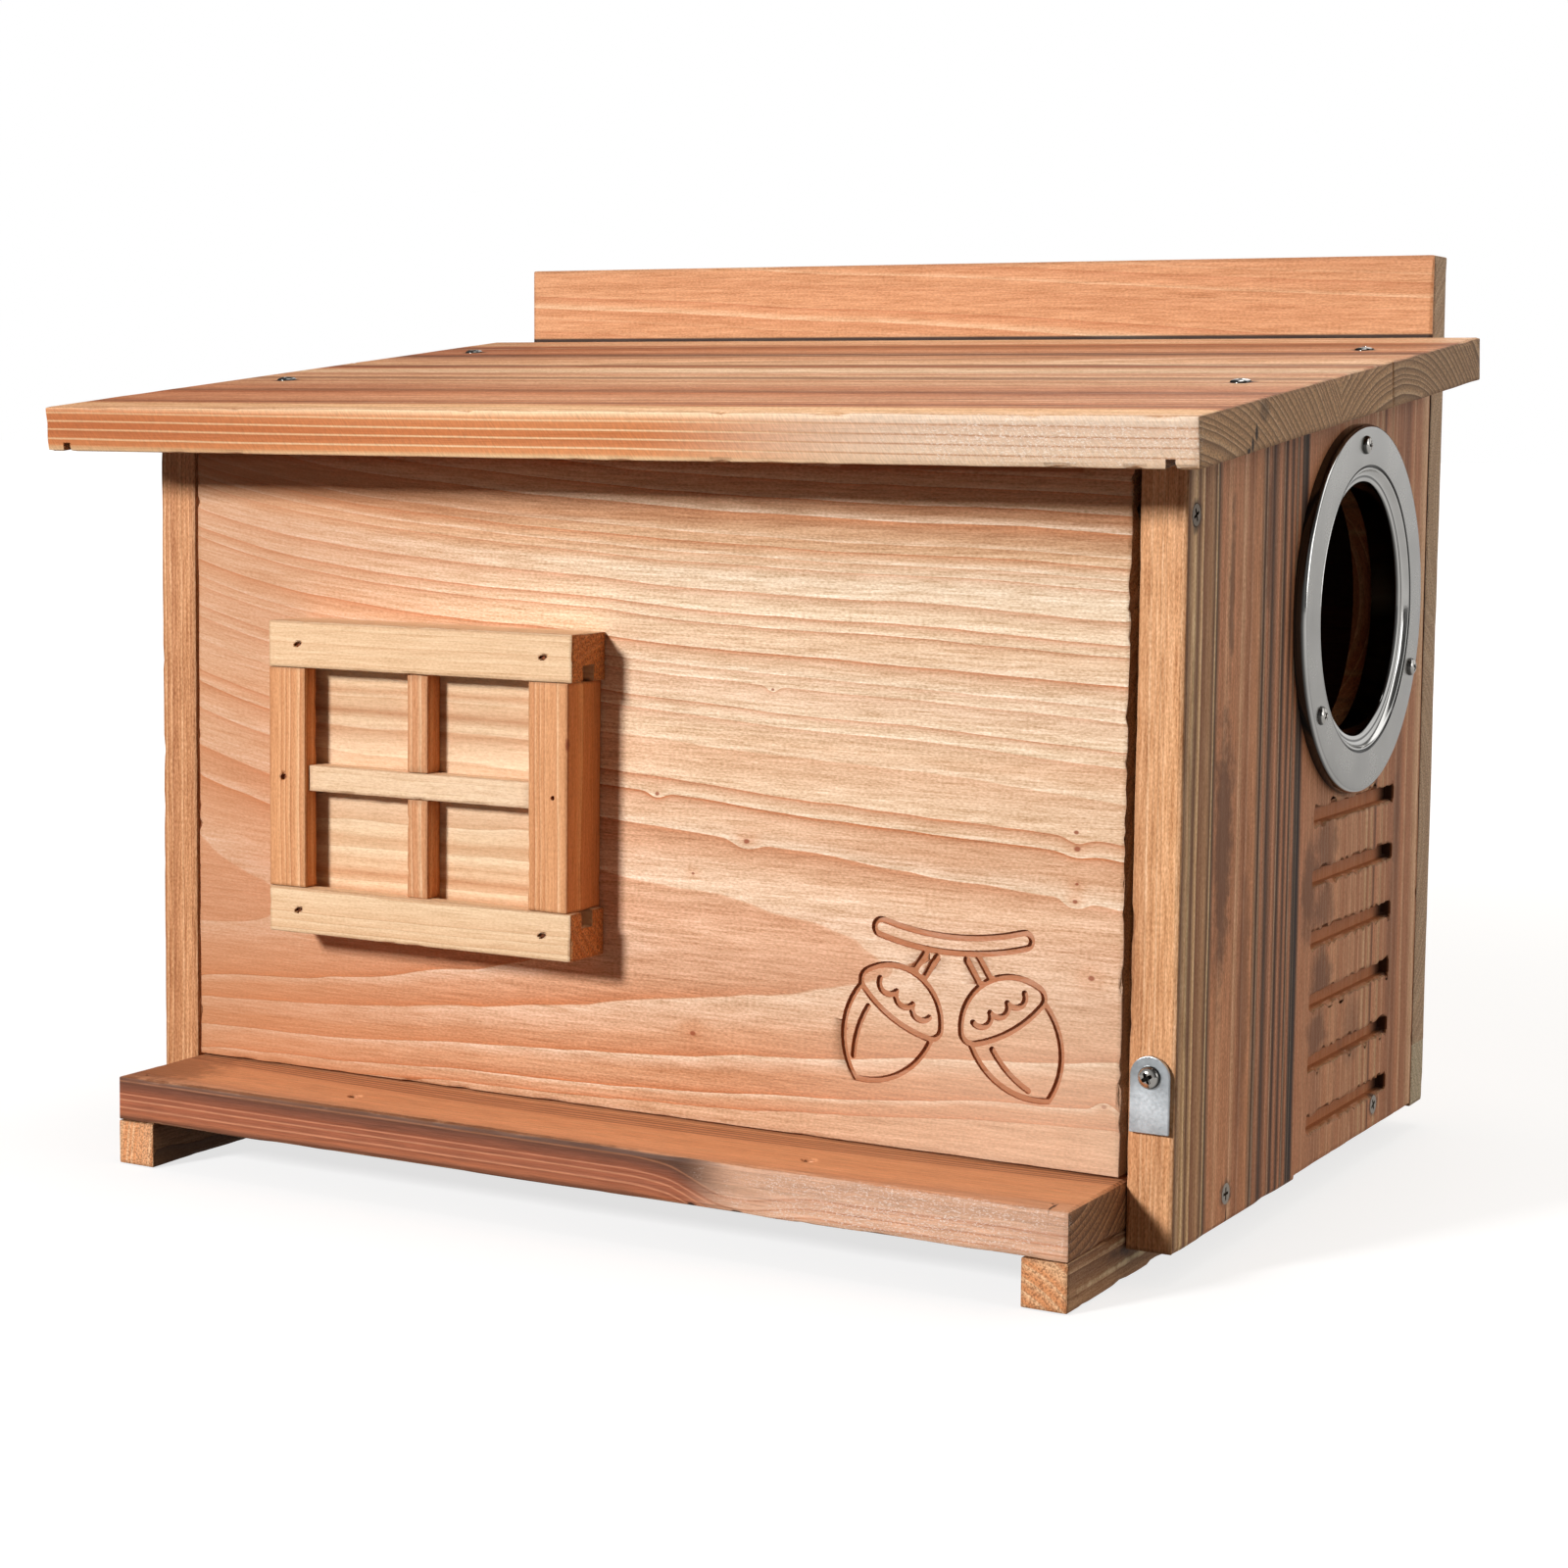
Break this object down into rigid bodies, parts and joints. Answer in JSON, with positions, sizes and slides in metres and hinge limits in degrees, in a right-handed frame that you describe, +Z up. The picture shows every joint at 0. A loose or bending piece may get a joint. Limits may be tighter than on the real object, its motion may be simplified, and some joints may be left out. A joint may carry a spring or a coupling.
{
  "type": "squirrel house",
  "caption": "Wooden squirrel house with a sloped roof, a swinging front with a framed dummy window, a round steel-ringed side entrance, climbing grooves, a perch ledge and a turn latch.",
  "frame": {"origin": "on the ground, below the middle of the house's bounding box", "axes": "+X to the right seen from the front, +Y to the back, +Z up"},
  "size_m": [0.415, 0.291, 0.315],
  "materials": {
    "toasted_fir": "planed, oiled warm orange softwood",
    "dark_fir": "planed, scorched brown softwood with dark streaks",
    "pale_fir": "planed, pale cream to pink softwood",
    "polished_steel": "polished",
    "zinc_plated_steel": "dull zinc plating",
    "screw_steel": "bright steel"
  },
  "bodies": {
    "house": {"left_side_front_board": "toasted_fir", "left_side_rear_board": "toasted_fir", "right_side_front_board": "dark_fir", "right_side_rear_board": "dark_fir", "back_bottom_board": "toasted_fir", "back_middle_board": "toasted_fir", "back_top_board": "toasted_fir", "floor_perch_board": "toasted_fir", "floor_rear_board": "toasted_fir", "left_batten": "toasted_fir", "right_batten": "toasted_fir", "roof_front_board": "dark_fir", "roof_rear_board": "dark_fir", "entrance_ring": "polished_steel", "ring_screws": "screw_steel", "latch_screw": "screw_steel", "roof_screws": "screw_steel", "floor_screws": "screw_steel", "back_screws": "screw_steel", "batten_brads": "screw_steel"},
    "swing_front": {"front_panel": "pale_fir", "window_top_rail": "pale_fir", "window_bottom_rail": "pale_fir", "window_left_stile": "toasted_fir", "window_right_stile": "toasted_fir", "window_pane_board": "pale_fir", "window_crossbar": "pale_fir", "window_upper_muntin": "toasted_fir", "window_lower_muntin": "toasted_fir", "window_brads": "screw_steel", "pivot_screws": "screw_steel"},
    "latch": {"latch_plate": "zinc_plated_steel"}
  },
  "joints": [
    {"name": "front_panel_swing", "type": "hinge", "parent": "house", "child": "swing_front", "pos_m": [0, -0.097, 0.2275], "axis": [-1, 0, 0], "range_deg": [0, 75]},
    {"name": "latch_turn", "type": "hinge", "parent": "house", "child": "latch", "pos_m": [0.1825, -0.1035, 0.0625], "axis": [0, 1, 0], "range_deg": [0, 90]}
  ]
}
